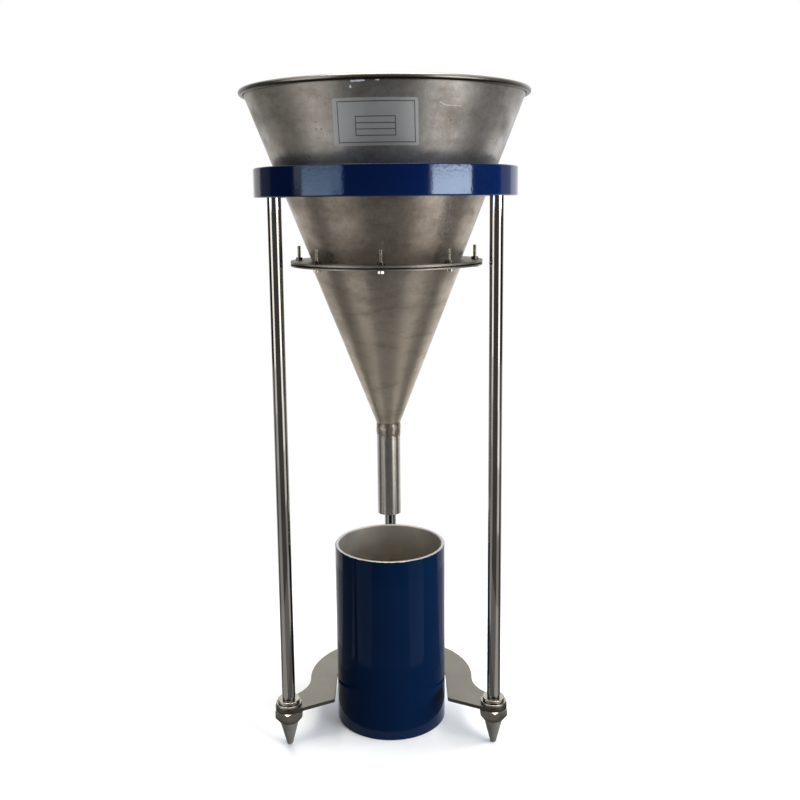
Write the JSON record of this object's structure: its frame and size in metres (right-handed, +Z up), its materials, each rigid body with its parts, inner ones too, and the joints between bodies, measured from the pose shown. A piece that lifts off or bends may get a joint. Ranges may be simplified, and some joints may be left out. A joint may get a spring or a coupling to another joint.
{
  "type": "bulk density tester",
  "caption": "Two-stage cone funnel with a flanged sieve joint and spout, hung in a painted ring on rod legs with levelling feet over a cylindrical measuring cup.",
  "frame": {"origin": "on the bench, under the funnel's axis, level with the feet's tips and the cup's base", "axes": "+Z up along the funnel's axis, -Y to the front, where the base plate is open for the cup, +X to the right"},
  "size_m": [0.2366, 0.2366, 0.5443],
  "materials": {
    "blue_paint": "glossy enamel",
    "cup_metal": "bare, finely turned",
    "funnel_sheet": "satin sheet",
    "flange_steel": "satin",
    "sieve_wire": "wire cloth",
    "gasket_rubber": "matt",
    "name_plate_metal": "matt silver, bare",
    "plate_steel": "satin plate",
    "polished_rod": "ground and polished",
    "fastener_steel": "bright stainless",
    "foot_steel": "grey blasted"
  },
  "bodies": {
    "stand": {"support_ring": "blue_paint", "rod_front_left": "polished_rod", "rod_front_right": "polished_rod", "rod_rear": "polished_rod", "base_plate": "plate_steel", "flat_washers": "fastener_steel", "spring_washers": "fastener_steel", "leg_nuts": "fastener_steel"},
    "funnel": {"upper_cone": "funnel_sheet", "name_plate": "name_plate_metal", "upper_flange": "flange_steel", "lower_flange": "flange_steel", "gasket": "gasket_rubber", "sieve": "sieve_wire", "flange_screws": "fastener_steel", "flange_nuts": "fastener_steel", "lower_cone": "funnel_sheet", "spout": "funnel_sheet"},
    "cup": {"cup_tube": "blue_paint", "cup_base": "cup_metal"},
    "foot_front_left": {"foot_front_left": "foot_steel"},
    "foot_front_right": {"foot_front_right": "foot_steel"},
    "foot_rear": {"foot_rear": "foot_steel"}
  },
  "joints": [
    {"name": "funnel_lift", "type": "slide", "parent": "stand", "child": "funnel", "axis": [0, 0, 1], "range_m": [0, 0.3]},
    {"name": "cup_slide", "type": "slide", "parent": "stand", "child": "cup", "axis": [0, -1, 0], "range_m": [0, 0.2]},
    {"name": "foot_front_left_thread", "type": "slide", "parent": "stand", "child": "foot_front_left", "axis": [0, 0, -1], "range_m": [0, 0.006]},
    {"name": "foot_front_right_thread", "type": "slide", "parent": "stand", "child": "foot_front_right", "axis": [0, 0, -1], "range_m": [0, 0.006]},
    {"name": "foot_rear_thread", "type": "slide", "parent": "stand", "child": "foot_rear", "axis": [0, 0, -1], "range_m": [0, 0.006]}
  ]
}
